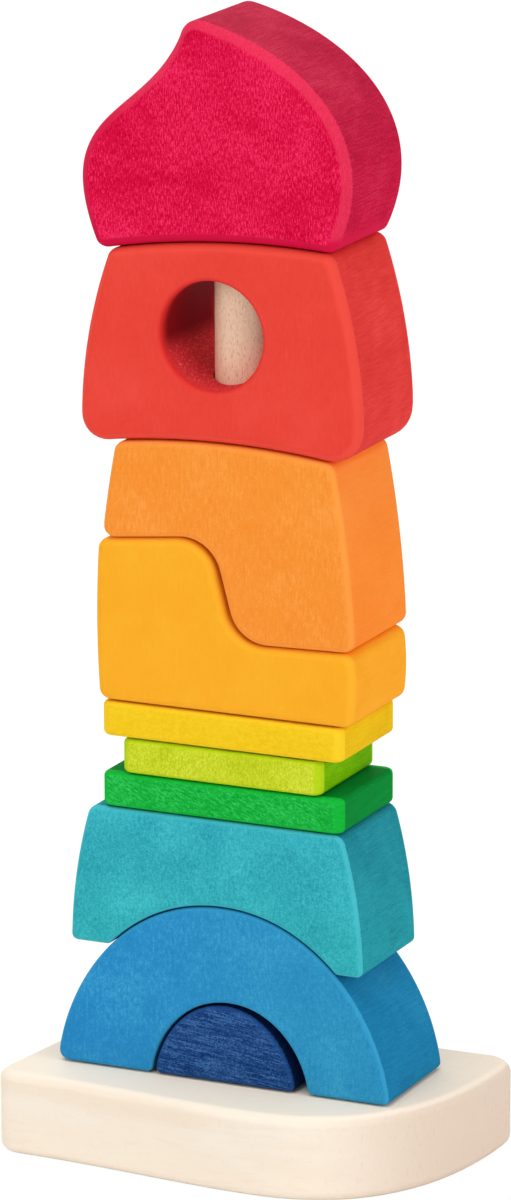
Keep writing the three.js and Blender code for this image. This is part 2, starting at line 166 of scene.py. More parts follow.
class Tone:
    """A socket of a material, so that shader maths reads as plain arithmetic."""

    def __init__(self, socket):
        self.socket = socket
        self.tree = socket.id_data

    def node(self, kind, settings=None, inputs=None, output=0):
        """Any other node: its settings first, then values or links by socket, then the output wanted."""
        made = self.tree.nodes.new("ShaderNode" + kind)
        for name, value in (settings or {}).items():
            setattr(made, name, value)
        for name, value in (inputs or {}).items():
            if isinstance(value, Tone):
                value.into(made.inputs[name])
            else:
                made.inputs[name].default_value = value
        return Tone(made.outputs[output])

    def into(self, socket):
        """Links this value into a socket of another node."""
        self.tree.links.new(self.socket, socket)

    def maths(self, operation, *values):
        return self.node("Math", {"operation": operation}, dict(enumerate(values)))

    def __add__(self, other):
        return self.maths("ADD", self, other)

    def __sub__(self, other):
        return self.maths("SUBTRACT", self, other)

    def __rsub__(self, other):
        return self.maths("SUBTRACT", other, self)

    def __mul__(self, other):
        return self.maths("MULTIPLY", self, other)

    def __abs__(self):
        return self.maths("ABSOLUTE", self)

    __radd__ = __add__
    __rmul__ = __mul__

    def part(self, axis):
        """One of these coordinates: 0 is X, 1 is Y, 2 is Z."""
        return self.node("SeparateXYZ", None, {0: self}, axis)

    def rise(self, low, high):
        """0 below low, 1 above high, and smooth between them."""
        limits = {"Value": self, "From Min": low, "From Max": high}
        return self.node("MapRange", {"interpolation_type": "SMOOTHSTEP"}, limits)

    def noise(self, cell, detail=3.0, bend=0.0, turn=0.0):
        """Random clouds whose cells measure so many millimetres in X, Y and Z, turned about Y."""
        spread = {"Vector": self, "Rotation": (0, turn, 0), "Scale": Vector(cell) * MM}
        laid = self.node("Mapping", {"vector_type": "TEXTURE"}, spread)
        cloud = {"Vector": laid, "Scale": 1.0, "Detail": detail, "Distortion": bend}
        return self.node("TexNoise", None, {**cloud, "Roughness": GRAIN_ROUGHNESS})

    def blend(self, first, second):
        """A colour that goes from the first to the second as this value goes from 0 to 1."""
        return self.node("Mix", {"data_type": "RGBA"}, {0: self, 6: first, 7: second}, 2)

    def grade(self, deep, body, pale):
        """The deep colour at 0, the body colour at a half and the pale one at 1."""
        return (self * 2 - 1).blend((self * 2).blend(deep, body), pale)


def shade(red, green, blue):
    """A colour as a paint chart gives it, from 0 to 255, in the light that the shader works with."""
    parts = (red / 255, green / 255, blue / 255)
    return (*(p / 12.92 if p < 0.04045 else ((p + 0.055) / 1.055) ** 2.4 for p in parts), 1.0)


def wooden(piece, name):
    """A new wood finish on the piece: its surface shader, and the place of each point on it."""
    material = bpy.data.materials.new(name)
    material.use_nodes = True
    piece.data.materials.clear()
    piece.data.materials.append(material)
    surface = material.node_tree.nodes["Principled BSDF"]
    surface.inputs["Specular IOR Level"].default_value = WOOD_GLOSS
    return surface, Tone(surface.outputs["BSDF"]).node("TexCoord", output="Object")


def feed(surface, colour, roughness, height, relief):
    """Links a finish into its shader: colour, roughness, and a height that the bump turns into relief."""
    bumps = {"Height": height, "Strength": BUMP_STRENGTH, "Distance": relief}
    colour.into(surface.inputs["Base Color"])
    roughness.into(surface.inputs["Roughness"])
    height.node("Bump", None, bumps).into(surface.inputs["Normal"])


base_low, base_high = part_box("base_board")
front_left = (BASE_LEFT, BASE_FRONT + 4.1)
front_swell = (14, BASE_FRONT)
front_wave = (-24, front_left[1]), (-8, BASE_FRONT)
right_end = (BASE_RIGHT, 21)
right_bow = (39, BASE_FRONT), (BASE_RIGHT - 1, -16)
back_right = (BASE_RIGHT, BASE_BACK - 0.6)
back_left = (BASE_LEFT + 8, BASE_BACK)
back_wave = (20.6, BASE_BACK - 2.5), (-10.8, BASE_BACK + 2.5)
base_outline = [
    *sweep(front_left, *front_wave, front_swell),
    *sweep(front_swell, *right_bow, right_end, steps=48),
    right_end,
    *sweep(back_right, *back_wave, back_left),
    back_left,
]
base_board = trace(
    "base_board_wood",
    lambda x, y: Vector((x, y, 0)),
    base_outline,
    Vector((0, 0, base_high.z - base_low.z)),
    BASE_CORNER,
    [(back_right, BACK_RIGHT_CORNER), (back_left, BACK_LEFT_CORNER)],
)
soften(BASE_RIM, segments=7, profile=0.46)
drill(base_board, DOWEL_RADIUS + GLUE_LINE, base_high.z - SOCKET_DEPTH, base_high.z + BASE_RIM)
sand(base_board)

MAPLE, MAPLE_RING, MAPLE_PALE = shade(250, 236, 218), shade(243, 225, 203), shade(254, 244, 231)
MAPLE_FIBRE, MAPLE_PORE = shade(231, 209, 184), shade(214, 182, 156)
MAPLE_END_GRAIN_AND_SHADE, MAPLE_TOP_LIGHT = shade(229, 208, 190), shade(255, 241, 222)
MAPLE_RELIEF = 0.12 * MM
END_GRAIN_FROM, END_GRAIN_TO = 28 * MM, 53 * MM
TOP_FROM, TOP_TO = 1.2 * MM, 0.3 * MM
surface, place = wooden(base_board, "bare_maple")
growth = place.noise((90, 26, 9), 4, 0.5)
fibre = place.noise((10, 0.8, 0.8))
pores = place.noise((0.7, 0.7, 2.4), 2)
patches = place.noise((34, 26, 18), 2)
endward = place.part(0).rise(END_GRAIN_FROM, END_GRAIN_TO)
top_light = place.part(2).rise(base_high.z - TOP_FROM, base_high.z - TOP_TO)
maple = (growth.rise(0.48, 0.72) * 0.5).blend(MAPLE, MAPLE_RING)
maple = (patches.rise(0.5, 0.75) * 0.4).blend(maple, MAPLE_PALE)
maple = (fibre.rise(0.52, 0.76) * 0.2).blend(maple, MAPLE_FIBRE)
# Darker towards the right end: partly its end grain, partly painted shade.
maple = (endward * 0.9).blend(maple, MAPLE_END_GRAIN_AND_SHADE)
# Painted light: the top face is painted lighter and warmer than the rest of the board.
maple = (top_light * 0.8).blend(maple, MAPLE_TOP_LIGHT)
maple = (pores.rise(0.58, 0.74) * (0.08 + endward * 0.2)).blend(maple, MAPLE_PORE)
feed(surface, maple, 0.6 + patches * 0.16, fibre * 0.6 + growth * 0.4, MAPLE_RELIEF)
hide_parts("base_board")
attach(base_board, "base")


# Centre dowel: a turned beech rod with both ends eased, bare wood with the short dark pores of beech.
# It stands glued in the base board, and every block is threaded on it.
DOWEL_END_ROUND, DOWEL_SIDES = 2 * MM, 72
BEECH_DEEP, BEECH, BEECH_PALE = shade(236, 192, 156), shade(255, 226, 194), shade(255, 242, 220)
BEECH_PORE = shade(208, 154, 120)
BEECH_RELIEF = 0.15 * MM

dowel_low, dowel_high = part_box("centre_dowel")
bpy.ops.object.select_all(action="DESELECT")
bpy.ops.mesh.primitive_cylinder_add(
    vertices=DOWEL_SIDES,
    radius=DOWEL_RADIUS,
    depth=dowel_high.z - dowel_low.z,
    location=(0, 0, (dowel_low.z + dowel_high.z) / 2),
)
centre_dowel = bpy.context.object
centre_dowel.name = centre_dowel.data.name = "centre_dowel_wood"
bpy.ops.object.transform_apply(location=True)
bpy.ops.object.mode_set(mode="EDIT")
soften(DOWEL_END_ROUND)
sand(centre_dowel)

surface, place = wooden(centre_dowel, "bare_beech")
streaks = place.noise((2.2, 2.2, 40), 3, 0.3)
pores = place.noise((0.28, 0.28, 0.9), 2)
flecks = place.noise((0.6, 0.6, 1.6), 2)
beech = (streaks * 0.6 + flecks * 0.4).grade(BEECH_DEEP, BEECH, BEECH_PALE)
beech = (pores.rise(0.5, 0.7) * 0.5).blend(beech, BEECH_PORE)
feed(surface, beech, 0.55 + streaks * 0.2, streaks * 0.5 - pores.rise(0.55, 0.7) * 0.5, BEECH_RELIEF)
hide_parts("centre_dowel")
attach(centre_dowel, "base")


# Half disc: a half round sawn from thick board and stained dark blue, with the board's growth rings
# showing through the stain as fine pale lines. It stands in the arch's doorway, bored for the dowel like
# every block above it.
BLOCK_DEPTH = 32
BORE_RADIUS = 8.5 * MM
DRILL_PAST = 5 * MM
DISC_X, DISC_HALF_WIDTH, DISC_HEIGHT = 0.7, 18, 18.6
DISC_CORNER, DISC_RIM = 1.4, 1.2
SHOULDER_OUT, SHOULDER_UP, SHOULDER_IN = 0.95, 0.47, 0.585
CLOUD, PATCH, SPECK, SAW_MARK = 16, 9, 0.36, (0.4, 6, 0.4)
CLOUD_SWING, SPECK_SWING, FIBRE_SWING, SAW_SWING = 2.4, 2.5, 2.4, 2.5
RIM_WOBBLE = 0.5
RIM_BEYOND, RIM_WITHIN = 0.1, 0.3
FLAT_FROM, FLAT_TO = 0.3, 0.05
STAIN_RELIEF = 0.08 * MM


def half_round(x, half_width, height):
    """A half round with slightly flattened shoulders, from its right foot over the top to its left."""
    def quarter(side):
        reach = side * half_width
        leaving = (x + SHOULDER_OUT * reach, SHOULDER_UP * height)
        arriving = (x + SHOULDER_IN * reach, height)
        return sweep((x + reach, 0), leaving, arriving, (x, height), max(12, round(half_width)))
    return [*quarter(1), Vector((x, height)), *reversed(quarter(-1))]


def block(name, foot, outline, corner, wider=()):
    """A block: its front drawn in millimetres over a foot height, and pulled through the board."""
    front = Vector((0, -BLOCK_DEPTH / 2, foot / MM))
    through = Vector((0, BLOCK_DEPTH * MM, 0))
    return trace(name, lambda x, z: front + Vector((x, 0, z)), outline, through, corner, wider)


def stained(
    piece, name, front, side, edge, rim, strands, fibres, mottle, fuzz,
    saw=0.4, bend=0.0, turn=0.0, drift=None,
):
    """Water stain on a block, with its sawn sides apart from its planed front and back.

    front and side are deep, body and pale colours, and edge is the colour of the sanded rims, rim
    millimetres wide. strands is the size of a fibre; fibres, mottle, fuzz and saw are the shares of the
    fibres, of clouds, of specks and of the sawing in the tone. drift gives an axis, and the bodies of
    front and side at its low end.
    """
    front_tones = [shade(*colour) for colour in front]
    side_tones = [shade(*colour) for colour in side]
    surface, place = wooden(piece, name)
    if drift:
        axis, low_front, low_side = drift
        ends = [corner[axis] for corner in piece.bound_box]
        along = place.part(axis).rise(min(ends), max(ends))
        front_tones[1] = along.blend(shade(*low_front), front_tones[1])
        side_tones[1] = along.blend(shade(*low_side), side_tones[1])
    clouds = place.noise((CLOUD, CLOUD, CLOUD), 3, 0.5)
    patches = place.noise((PATCH, PATCH, PATCH), 2)
    specks = place.noise((SPECK, SPECK, SPECK), 2)
    fibre = place.noise(strands, 3, bend, turn)
    sawing = place.noise(SAW_MARK)
    soaked = 0.5 + (clouds - 0.5) * (CLOUD_SWING * mottle) + (specks - 0.5) * (SPECK_SWING * fuzz)
    face = (soaked + (fibre - 0.5) * (patches * 2 + 0.4) * (FIBRE_SWING * fibres)).grade(*front_tones)
    flank = (soaked + (sawing - 0.5) * (SAW_SWING * saw)).grade(*side_tones)
    half = BLOCK_DEPTH / 2 * MM
    depth = abs(place.part(1)) + (specks - 0.5) * (RIM_WOBBLE * MM)
    within = 1 - depth.rise(half - (rim + RIM_BEYOND) * MM, half - (rim - RIM_WITHIN) * MM)
    flat = depth.rise(half - FLAT_FROM * MM, half - FLAT_TO * MM)
    wood = within.blend(face, flank)
    wood = ((1 - within) * (1 - flat) * (0.35 + specks * 0.75)).blend(wood, shade(*edge))
    height = fibre * (1 - within) + sawing * within + specks * 0.5
    feed(surface, wood, 0.62 + clouds * 0.2, height, STAIN_RELIEF)
    return surface, place, wood


disc_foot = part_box("half_disc")[0].z
disc_outline = half_round(DISC_X, DISC_HALF_WIDTH, DISC_HEIGHT)
half_disc = block("half_disc_wood", disc_foot, disc_outline, DISC_CORNER)
soften(DISC_RIM * MM)
drill(half_disc, BORE_RADIUS, disc_foot - DRILL_PAST, disc_foot + DISC_HEIGHT * MM + DRILL_PAST)
sand(half_disc)
stained(
    half_disc,
    "navy_stain",
    front=((10, 44, 100), (32, 72, 130), (68, 112, 170)),
    side=((8, 24, 60), (18, 44, 92), (30, 62, 116)),
    edge=(36, 78, 138),
    rim=DISC_RIM,
    strands=(6, 6, 0.35),
    fibres=0.78,
    mottle=0.25,
    fuzz=0.75,
    bend=1.0,
    turn=math.radians(6),
)
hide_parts("half_disc")
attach(half_disc, "half_disc")


# Rainbow arch: a half round sawn in one piece from thick board and stained blue, with a half-round
# doorway a little right of its middle. It straddles the half disc on the base board and is bored through
# its crown for the dowel.
ARCH_HALF_WIDTH, ARCH_HEIGHT = 42.7, 42.4
DOORWAY_X, DOORWAY_HALF_WIDTH, DOORWAY_HEIGHT = 1.95, 20.1, 19.5
ARCH_CORNER, ARCH_LEFT_CORNER, ARCH_RIM = 1.5, 2.6, 1.1

arch_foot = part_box("rainbow_arch")[0].z
doorway = half_round(DOORWAY_X, DOORWAY_HALF_WIDTH, DOORWAY_HEIGHT)
arch_outline = [*half_round(0, ARCH_HALF_WIDTH, ARCH_HEIGHT), *reversed(doorway)]
arch_left_foot = ((-ARCH_HALF_WIDTH, 0), ARCH_LEFT_CORNER)
rainbow_arch = block("rainbow_arch_wood", arch_foot, arch_outline, ARCH_CORNER, [arch_left_foot])
soften(ARCH_RIM * MM)
drill(rainbow_arch, BORE_RADIUS, arch_foot, arch_foot + ARCH_HEIGHT * MM + DRILL_PAST)
sand(rainbow_arch)
stained(
    rainbow_arch,
    "blue_stain",
    front=((37, 131, 186), (50, 150, 194), (66, 168, 210)),
    side=((16, 108, 156), (28, 128, 174), (46, 144, 186)),
    edge=(56, 156, 200),
    rim=ARCH_RIM,
    strands=(0.7, 2, 1.8),
    fibres=0.35,
    mottle=0.4,
    fuzz=0.45,
    saw=0.3,
    drift=(0, (42, 138, 200), (28, 124, 180)),
)
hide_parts("rainbow_arch")
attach(rainbow_arch, "arch")


# Bridge block: sawn from the same board and stained turquoise, with slanted and slightly swelling ends,
# and a hollow under it that fits over the arch. It is bored through its crown for the dowel.
BRIDGE_FOOT, BRIDGE_TOP = 30.0, 63.6
BRIDGE_TOP_LEFT, BRIDGE_TOP_RIGHT = -33.7, 30.6
BRIDGE_LEFT_LAND, BRIDGE_RIGHT_LAND = 9.8, 6.7
BRIDGE_SWELL = 1.2
BLOCK_CORNER, BRIDGE_FOOT_CORNER, BRIDGE_RIM = 2.8, 1.6, 1.3
STACK_GAP = 0.3


def bow(start, end, swell, steps=16):
    """A side that swells outwards between its ends, on an outline that runs counter-clockwise."""
    along = (Vector(end) - Vector(start)).normalized()
    middle = (Vector(start) + Vector(end)) / 2 + 2 * swell * Vector((along.y, -along.x))
    curve = []
    for step in range(steps):
        share = step / steps
        left = 1 - share
        curve.append(left**2 * Vector(start) + 2 * share * left * middle + share**2 * Vector(end))
    return curve


def above(points, height):
    """The part of an outline above a height, with its ends cut at that height."""
    kept = []
    for here, there in zip(points, points[1:]):
        if here.y > height:
            kept.append(here)
        if (here.y > height) != (there.y > height):
            kept.append(here.lerp(there, (height - here.y) / (there.y - here.y)))
    return kept


hollow = above(half_round(0, ARCH_HALF_WIDTH + STACK_GAP, ARCH_HEIGHT + STACK_GAP), BRIDGE_FOOT)
bridge_right_foot = (hollow[0].x + BRIDGE_RIGHT_LAND, BRIDGE_FOOT)
bridge_left_foot = (hollow[-1].x - BRIDGE_LEFT_LAND, BRIDGE_FOOT)
bridge_outline = [
    *bow(bridge_right_foot, (BRIDGE_TOP_RIGHT, BRIDGE_TOP), BRIDGE_SWELL),
    (BRIDGE_TOP_RIGHT, BRIDGE_TOP),
    *bow((BRIDGE_TOP_LEFT, BRIDGE_TOP), bridge_left_foot, BRIDGE_SWELL),
    bridge_left_foot,
    *reversed(hollow),
]
bridge_toes = (bridge_right_foot, bridge_left_foot, hollow[0], hollow[-1])
bridge_feet = [(toe, BRIDGE_FOOT_CORNER) for toe in bridge_toes]
bridge_block = block("bridge_block_wood", arch_foot, bridge_outline, BLOCK_CORNER, bridge_feet)
soften(BRIDGE_RIM * MM)
drill(bridge_block, BORE_RADIUS, arch_foot + BRIDGE_FOOT * MM, arch_foot + BRIDGE_TOP * MM + DRILL_PAST)
sand(bridge_block)
stained(
    bridge_block,
    "turquoise_stain",
    front=((38, 150, 168), (55, 174, 189), (74, 196, 206)),
    side=((18, 118, 134), (33, 139, 154), (50, 160, 174)),
    edge=(74, 190, 202),
    rim=BRIDGE_RIM,
    strands=(0.7, 2, 1.6),
    fibres=0.35,
    mottle=0.5,
    fuzz=0.6,
    saw=0.3,
    drift=(2, (53, 175, 182), (38, 157, 168)),
)
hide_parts("bridge_block")
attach(bridge_block, "bridge")


# Planks: three flat wooden slats, stained green, lime and yellow, the lime one shorter. They are planed,
# with rounded corners and small eased edges. They lie on one another over the bridge, each bored in its
# middle for the dowel.
PLANK_CORNER, PLANK_RIM = 2.6, 1.2


def plank(name, node):
    """A slat the size of its node: its plan is drawn and pulled up, then eased and bored."""
    low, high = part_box(node)
    left, front, foot = low / MM
    right, back, top = high / MM
    plan = [(left, front), (right, front), (right, back), (left, back)]
    up = Vector((0, 0, (top - foot) * MM))
    piece = trace(name, lambda x, y: Vector((x, y, foot)), plan, up, PLANK_CORNER)
    soften(PLANK_RIM * MM)
    drill(piece, BORE_RADIUS, low.z - DRILL_PAST, high.z + DRILL_PAST)
    sand(piece)
    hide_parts(node)
    return piece


green_plank = plank("green_plank_wood", "green_plank")
stained(
    green_plank,
    "green_stain",
    front=((0, 150, 36), (24, 176, 62), (58, 208, 98)),
    side=((0, 118, 40), (2, 136, 52), (12, 150, 64)),
    edge=(18, 184, 56),
    rim=PLANK_CORNER,
    strands=(1.3, 3, 0.42),
    fibres=0.45,
    mottle=0.25,
    fuzz=0.4,
    turn=math.radians(20),
)
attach(green_plank, "green")

lime_plank = plank("lime_plank_wood", "lime_plank")
stained(
    lime_plank,
    "lime_stain",
    front=((174, 189, 16), (200, 213, 40), (219, 229, 73)),
    side=((92, 166, 0), (116, 186, 0), (140, 206, 4)),
    edge=(174, 216, 12),
    rim=PLANK_CORNER,
    strands=(0.34, 3, 0.9),
    fibres=0.45,
    mottle=0.5,
    fuzz=0.5,
)
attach(lime_plank, "lime")

yellow_plank = plank("yellow_plank_wood", "yellow_plank")
stained(
    yellow_plank,
    "yellow_stain",
    front=((238, 190, 20), (246, 202, 31), (253, 212, 46)),
    side=((222, 172, 8), (238, 190, 18), (248, 204, 34)),
    edge=(250, 208, 44),
    rim=PLANK_CORNER,
    strands=(1.4, 3, 0.9),
    fibres=0.35,
    mottle=0.35,
    fuzz=0.4,
)
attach(yellow_plank, "yellow")


# Lower S block: wood stained amber, its top sawn in an S line that leaves a high shoulder on the left and
# a low arm on the right. It stands on the yellow plank and carries the orange block, which was sawn along
# the same line.
TOWER_X, TOWER_HEIGHT = 0.9, 63.6
LOWER_HALF, LOWER_SWELL = 32.1, 0.7
CUT_MIDDLE = Vector((0.5, 28.8))
CUT_DROP, CUT_RADIUS = 23.6, 9.5
CUT_FLANK, CUT_LEFT_LEAN, CUT_RIGHT_LEAN = (math.radians(turn) for turn in (75, 6, 1.5))
CUT_PLAY = 1.1
CUT_SPACING = 0.9
AMBER_RIM = 2.0


def arc(centre, radius, start, end, spacing):
    """Points round a centre, from one angle to another, so many millimetres apart."""
    steps = max(4, round(abs(end - start) * radius / spacing))
    turns = (start + (end - start) * step / steps for step in range(steps + 1))
    return [Vector(centre) + radius * Vector((math.cos(turn), math.sin(turn))) for turn in turns]


def s_cut(left, right, middle):
    """The S line from left to right: rising stretch, shoulder, steep flank, trough, level stretch."""
    steep = Vector((math.cos(CUT_FLANK), -math.sin(CUT_FLANK)))
    aside = Vector((-steep.y, steep.x))
    half_flank = (CUT_DROP / 2 - CUT_RADIUS * (1 - math.cos(CUT_FLANK))) / math.sin(CUT_FLANK)
    upright = math.pi / 2
    shoulder = middle - half_flank * steep - CUT_RADIUS * aside
    trough = middle + half_flank * steep + CUT_RADIUS * aside
    over = arc(shoulder, CUT_RADIUS, upright + CUT_LEFT_LEAN, upright - CUT_FLANK, CUT_SPACING)
    under = arc(trough, CUT_RADIUS, 3 * upright - CUT_FLANK, 3 * upright + CUT_RIGHT_LEAN, CUT_SPACING)
    first = Vector((left, over[0].y + (left - over[0].x) * math.tan(CUT_LEFT_LEAN)))
    last = Vector((right, under[-1].y + (right - under[-1].x) * math.tan(CUT_RIGHT_LEAN)))
    return [first, *over, *under, last]


tower_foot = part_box("lower_s_block")[0].z
lower_left, lower_right = (TOWER_X - LOWER_HALF, 0), (TOWER_X + LOWER_HALF, 0)
lower_middle = CUT_MIDDLE - Vector((CUT_PLAY / 2, 0))
lower_cut = s_cut(lower_left[0], lower_right[0], lower_middle)[::-1]
lower_outline = [
    lower_left,
    *bow(lower_right, lower_cut[0], LOWER_SWELL),
    *lower_cut[:-1],
    *bow(lower_cut[-1], lower_left, LOWER_SWELL),
]
lower_s_block = block("lower_s_block_wood", tower_foot, lower_outline, BLOCK_CORNER)
soften(AMBER_RIM * MM)
drill(lower_s_block, BORE_RADIUS, tower_foot - DRILL_PAST, tower_foot + TOWER_HEIGHT * MM)
sand(lower_s_block)
stained(
    lower_s_block,
    "amber_stain",
    front=((250, 169, 34), (252, 175, 40), (254, 183, 50)),
    side=((250, 162, 34), (254, 170, 42), (255, 178, 52)),
    edge=(253, 179, 48),
    rim=AMBER_RIM,
    strands=(0.7, 2, 3),
    fibres=0.3,
    mottle=0.5,
    fuzz=0.25,
)
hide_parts("lower_s_block")
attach(lower_s_block, "lower_s")


# Upper S block: wood stained orange, its underside following the S line of the block below, its top
# gently crowned. The two were sawn apart, so they nest, and the crown is the rocker seat of the window
# block.
SEAT_RADIUS, SEAT_SPACING = 205, 3
UPPER_FOOT_HALF, UPPER_TOP_HALF = 32.7, 27.4
UPPER_SWELL = 0.9
ORANGE_RIM = 1.6


def seat(crest, top, left, right):
    """A shallow rocker seat whose highest point is over crest, from one X to another."""
    turns = (math.acos((x - crest) / SEAT_RADIUS) for x in (left, right))
    return arc((crest, top - SEAT_RADIUS), SEAT_RADIUS, *turns, SEAT_SPACING)


upper_left, upper_right = TOWER_X - UPPER_FOOT_HALF, TOWER_X + UPPER_FOOT_HALF
upper_middle = CUT_MIDDLE + Vector((CUT_PLAY / 2, STACK_GAP))
crown = seat(0, TOWER_HEIGHT, TOWER_X + UPPER_TOP_HALF, TOWER_X - UPPER_TOP_HALF)
whole_cut = s_cut(upper_left, upper_right, upper_middle)
right_foot = whole_cut[-1]
# The left side starts at the shoulder, as far out as the swelling right side is at that height.
arm_share = (whole_cut[0].y - right_foot.y) / (crown[0].y - right_foot.y)
arm_right = right_foot.lerp(crown[0], arm_share).x + 4 * UPPER_SWELL * arm_share * (1 - arm_share)
upper_cut = s_cut(2 * TOWER_X - arm_right, upper_right, upper_middle)
upper_outline = [
    *upper_cut[:-1],
    *bow(right_foot, crown[0], UPPER_SWELL),
    *crown[:-1],
    *bow(crown[-1], upper_cut[0], UPPER_SWELL * (1 - arm_share) ** 2),
]
upper_s_block = block("upper_s_block_wood", tower_foot, upper_outline, BLOCK_CORNER)
soften(ORANGE_RIM * MM)
drill(upper_s_block, BORE_RADIUS, tower_foot, tower_foot + TOWER_HEIGHT * MM + DRILL_PAST)
sand(upper_s_block)
stained(
    upper_s_block,
    "orange_stain",
    front=((246, 141, 46), (249, 149, 55), (254, 160, 72)),
    side=((250, 132, 44), (254, 144, 60), (255, 152, 70)),
    edge=(252, 158, 70),
    rim=ORANGE_RIM,
    strands=(0.6, 2, 2.8),
    fibres=0.6,
    mottle=0.45,
    fuzz=0.55,
    saw=0.3,
    drift=(2, (249, 148, 54), (254, 140, 46)),
)
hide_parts("upper_s_block")
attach(upper_s_block, "upper_s")


# Window block: wood stained red, wide at the foot, with swelling sides, a hollow foot and a crowned top.
# A round window is bored through it from front to back, and the dowel that it is threaded on shows there.
WINDOW_FOOT_HALF, WINDOW_TOP_HALF = 35.4, 27.9
WINDOW_BLOCK_HEIGHT, WINDOW_SWELL = 46.7, 2.4
WINDOW_LEFT_CORNER, WINDOW_RIGHT_CORNER = 6.2, 8.4
WINDOW_RADIUS, WINDOW_X, WINDOW_HEIGHT = 12.8, -1.85, 24.9
WINDOW_SIDES = 96
WINDOW_BEVEL, RED_RIM = 1.2, 2.4
WINDOW_BORE_RADIUS = 7.9 * MM
DOME_SEAT_CREST = 11
# Bore walls: painted light on the sill, and a deep red above it that is partly soaked stain, partly
# painted shade.
LIT_SILL_DEEP, LIT_SILL, LIT_SILL_SPECK = shade(226, 52, 62), shade(246, 80, 82), shade(255, 140, 132)
BORED_SOAK_AND_SHADE, BORED_MOUTH = shade(138, 6, 20), shade(222, 52, 48)
MOUTH_DEPTH = 5
SILL_WHOLE, SILL_GONE = -7 * MM, -1 * MM

window_foot = tower_foot + (TOWER_HEIGHT + STACK_GAP) * MM
window_hollow = seat(0, 0, -WINDOW_FOOT_HALF, WINDOW_FOOT_HALF)
window_crown = seat(DOME_SEAT_CREST, WINDOW_BLOCK_HEIGHT, WINDOW_TOP_HALF, -WINDOW_TOP_HALF)
window_outline = [
    *window_hollow[:-1],
    *bow(window_hollow[-1], window_crown[0], WINDOW_SWELL),
    *window_crown[:-1],
    *bow(window_crown[-1], window_hollow[0], WINDOW_SWELL),
]
window_feet = [(window_hollow[0], WINDOW_LEFT_CORNER), (window_hollow[-1], WINDOW_RIGHT_CORNER)]
window_block = block("window_block_wood", window_foot, window_outline, BLOCK_CORNER, window_feet)
soften(RED_RIM * MM, segments=6)
window_top = window_foot + WINDOW_BLOCK_HEIGHT * MM
drill(window_block, WINDOW_BORE_RADIUS, window_foot - DRILL_PAST, window_top + DRILL_PAST)
window_axis = Vector((WINDOW_X * MM, 0, window_foot + WINDOW_HEIGHT * MM))
bpy.ops.object.select_all(action="DESELECT")
bpy.ops.mesh.primitive_cylinder_add(
    vertices=WINDOW_SIDES,
    radius=WINDOW_RADIUS * MM,
    depth=2 * BLOCK_DEPTH * MM,
    location=window_axis,
    rotation=(math.pi / 2, 0, 0),
)
cut_away(window_block, bpy.context.object)
bpy.context.view_layer.objects.active = window_block
bpy.ops.object.mode_set(mode="EDIT")
window_face = (BLOCK_DEPTH / 2 - SAME_PLACE) * MM
window_reach = (WINDOW_RADIUS + SAME_PLACE) * MM
for side in (-1, 1):
    soften(
        WINDOW_BEVEL * MM,
        lambda end: side * end.y > window_face and (end.xz - window_axis.xz).length < window_reach,
        segments=6,
    )
sand(window_block)
surface, place, wood = stained(
    window_block,
    "red_stain",
    front=((229, 64, 53), (234, 70, 58), (239, 79, 67)),
    side=((209, 48, 46), (226, 61, 57), (240, 79, 75)),
    edge=(238, 80, 67),
    rim=RED_RIM,
    strands=(0.7, 2, 3),
    fibres=0.25,
    mottle=0.45,
    fuzz=0.25,
)
off_axis = place.node("VectorMath", {"operation": "SUBTRACT"}, {0: place, 1: window_axis})
across = place.node("VectorMath", {"operation": "MULTIPLY"}, {0: off_axis, 1: (1, 0, 1)})
reach = place.node("VectorMath", {"operation": "LENGTH"}, {0: across}, "Value")
inside = 1 - reach.rise(WINDOW_RADIUS * MM, (WINDOW_RADIUS + WINDOW_BEVEL) * MM)
inwards = 1 - abs(place.part(1)).rise((BLOCK_DEPTH / 2 - MOUTH_DEPTH) * MM, BLOCK_DEPTH / 2 * MM)
sill_light = 1 - off_axis.part(2).rise(SILL_WHOLE, SILL_GONE)
sparks = place.noise((0.5, 1.0, 0.5), 2).rise(0.42, 0.82)
# Painted light and shade: the sill is a lighter red with pale specks, and the wall above it is deep red.
bore_soak_light_and_shade = sill_light.blend(BORED_SOAK_AND_SHADE, sparks.grade(LIT_SILL_DEEP, LIT_SILL, LIT_SILL_SPECK))
bore_soak_light_and_shade = inwards.blend(BORED_MOUTH, bore_soak_light_and_shade)
inside.blend(wood, bore_soak_light_and_shade).into(surface.inputs["Base Color"])
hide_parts("window_block")
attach(window_block, "window")


# Onion dome: wood stained crimson, hollow on the left under its tip and round on the right, with broad
# sanded edges, which carry painted shade at the left and along the foot. It has a blind bore from below,
# so that the dowel ends inside it.
DOME_TIP, DOME_TIP_CORNER = (-8.5, 51), 4.5
DOME_LEFT_FOOT, DOME_RIGHT_FOOT = -30.7, 28.2
DOME_NECK, DOME_LEFT_BELLY = (-15.9, 25.2), (-45.9, 30.5)
DOME_RIGHT_BELLY, DOME_SHOULDER = (42.9, 28), (16.9, 46.6)
DOME_STEPS = 60
DOME_RIM = 2.4
DOWEL_IN_DOME, BORE_END_PLAY = 22, 2
# Painted shade on the rims: its crimson, its share at the left, and where it is full and where it ends.
RIM_SHADE_CRIMSON, LEFT_RIM_SHADE_SHARE = shade(212, 20, 68), 0.6
SHADED_LEFT, UNSHADED_LEFT = -29 * MM, -19 * MM
SHADED_FOOT, UNSHADED_FOOT = 1.5 * MM, 4 * MM
FACE_FADE = 0.2

